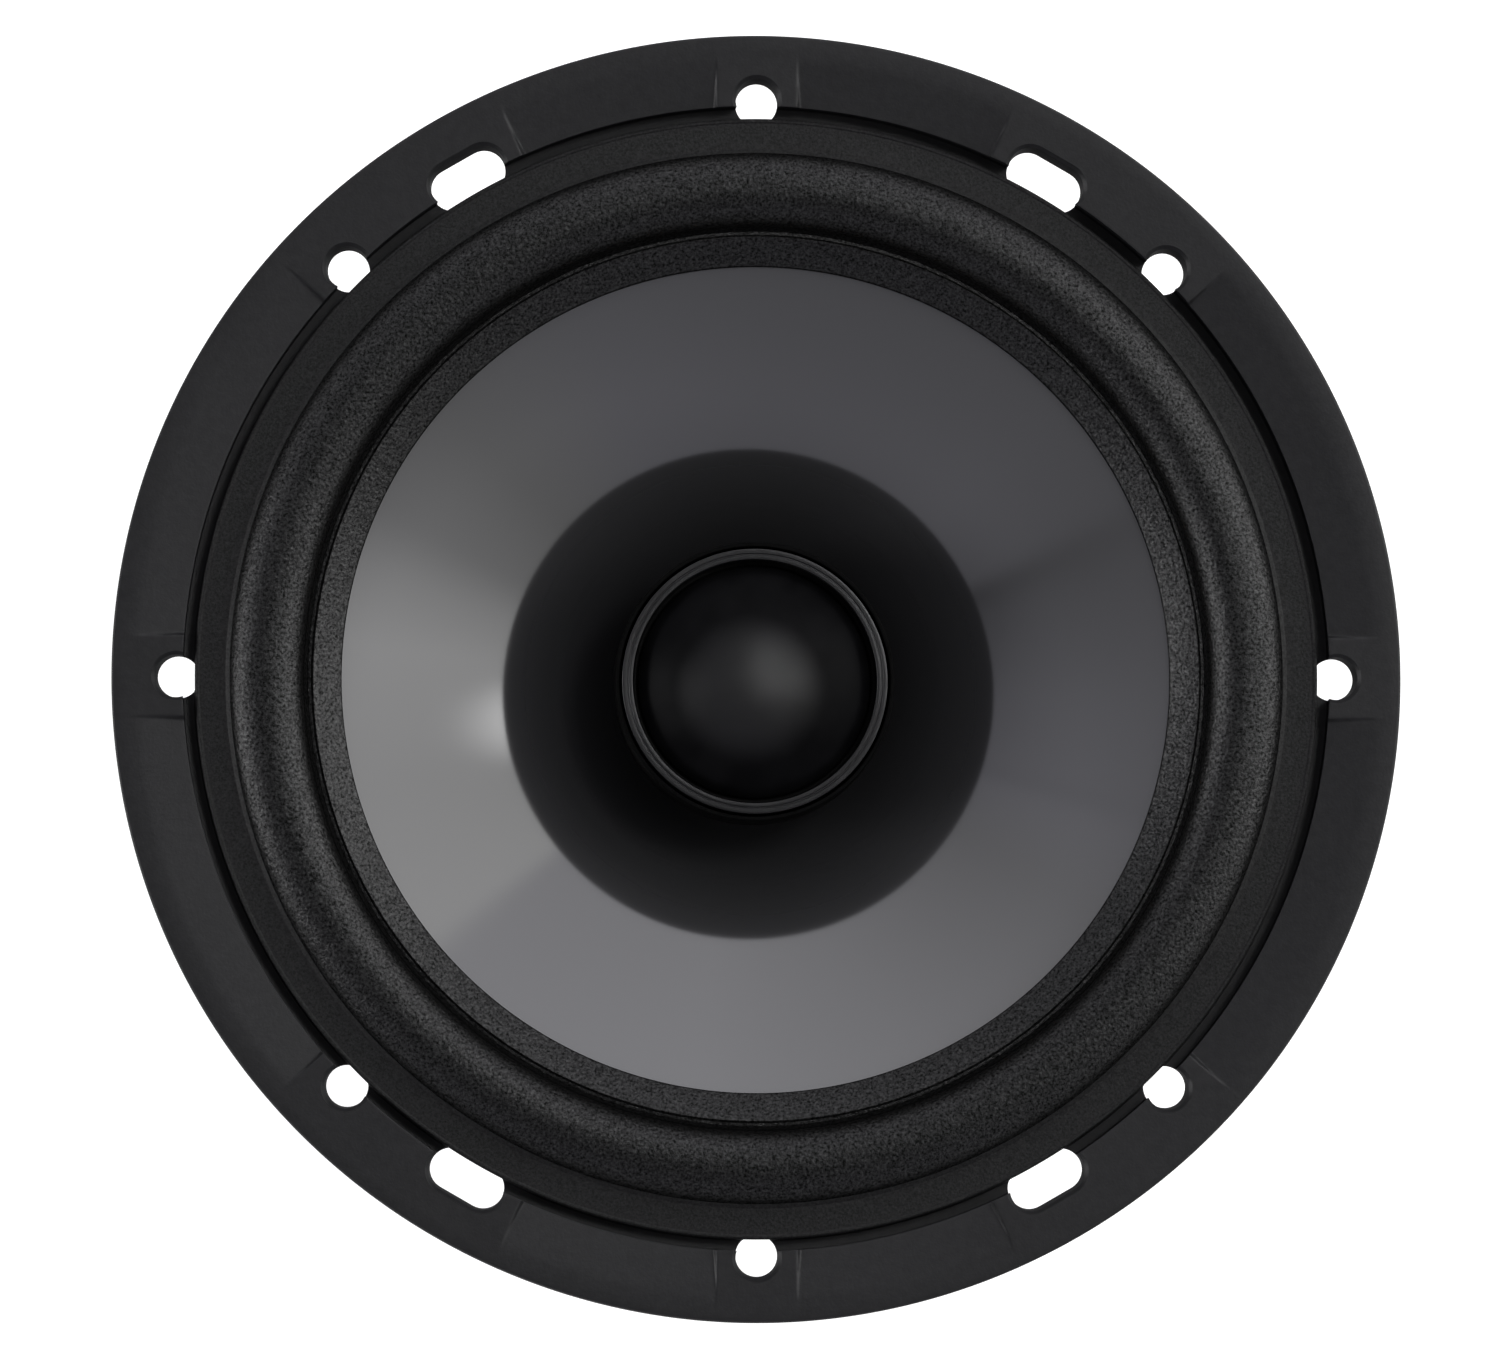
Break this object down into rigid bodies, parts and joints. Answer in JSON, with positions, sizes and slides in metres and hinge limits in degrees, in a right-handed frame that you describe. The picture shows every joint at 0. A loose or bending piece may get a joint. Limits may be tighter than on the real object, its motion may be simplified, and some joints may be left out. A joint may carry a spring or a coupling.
{
  "type": "coaxial car speaker",
  "caption": "Round coaxial car speaker: open basket with a slotted mounting flange, gloss cone on a rubber roll surround, ferrite motor, and a dome tweeter on a central post.",
  "frame": {"origin": "centre of the rear rest face of the magnet boot", "axes": "+Z along the speaker's axis, toward the listener; -Y toward the terminal board"},
  "size_m": [0.166, 0.166, 0.0702],
  "materials": {
    "basket_paint": "satin",
    "gasket_foam": "matte",
    "surround_rubber": "matte",
    "cone_skin": "gloss",
    "spider_cloth": "matte",
    "former_film": "satin",
    "copper_wire": "satin",
    "plated_steel": "satin",
    "ferrite": "matte",
    "boot_rubber": "matte",
    "black_plastic": "satin",
    "trim_metal": "satin",
    "dome_silk": "matte",
    "neodymium": "satin",
    "felt": "matte",
    "board_laminate": "satin",
    "tab_brass": "satin",
    "tinsel_braid": "satin",
    "wire_red": "satin",
    "wire_black": "satin",
    "capacitor_film": "satin"
  },
  "bodies": {
    "frame": {"basket": "basket_paint", "surround_gasket": "gasket_foam", "surround": "surround_rubber", "spider": "spider_cloth", "pole_yoke": "plated_steel", "ferrite_magnet": "ferrite", "top_plate": "plated_steel", "motor_screw_1": "plated_steel", "motor_screw_2": "plated_steel", "motor_screw_3": "plated_steel", "motor_screw_4": "plated_steel", "magnet_boot": "boot_rubber", "tweeter_post": "black_plastic", "post_washer": "plated_steel", "post_nut": "plated_steel", "tweeter_cup": "black_plastic", "tweeter_pot": "plated_steel", "tweeter_magnet": "neodymium", "tweeter_pole_plate": "plated_steel", "tweeter_damping_felt": "felt", "tweeter_surround": "dome_silk", "tweeter_trim_ring": "trim_metal", "terminal_board": "board_laminate", "terminal_tab_positive": "tab_brass", "terminal_tab_negative": "tab_brass", "board_rivet_1": "plated_steel", "board_rivet_2": "plated_steel", "capacitor": "capacitor_film", "tweeter_lead_positive": "wire_red", "tweeter_lead_negative": "wire_black", "tinsel_lead_positive": "tinsel_braid", "tinsel_lead_negative": "tinsel_braid"},
    "cone": {"cone": "cone_skin", "voice_coil_former": "former_film", "voice_coil_winding": "copper_wire"},
    "tweeter_dome": {"tweeter_dome": "dome_silk", "tweeter_coil": "copper_wire"}
  },
  "joints": [
    {"name": "cone_travel", "type": "slide", "parent": "frame", "child": "cone", "axis": [0, 0, 1], "range_m": [-0.005, 0.005], "stiffness_N_per_m": 1700, "deforming": ["surround", "spider", "tinsel_lead_positive", "tinsel_lead_negative"]},
    {"name": "tweeter_travel", "type": "slide", "parent": "frame", "child": "tweeter_dome", "axis": [0, 0, 1], "range_m": [-0.0003, 0.0003], "stiffness_N_per_m": 4000, "deforming": ["tweeter_surround"]}
  ]
}
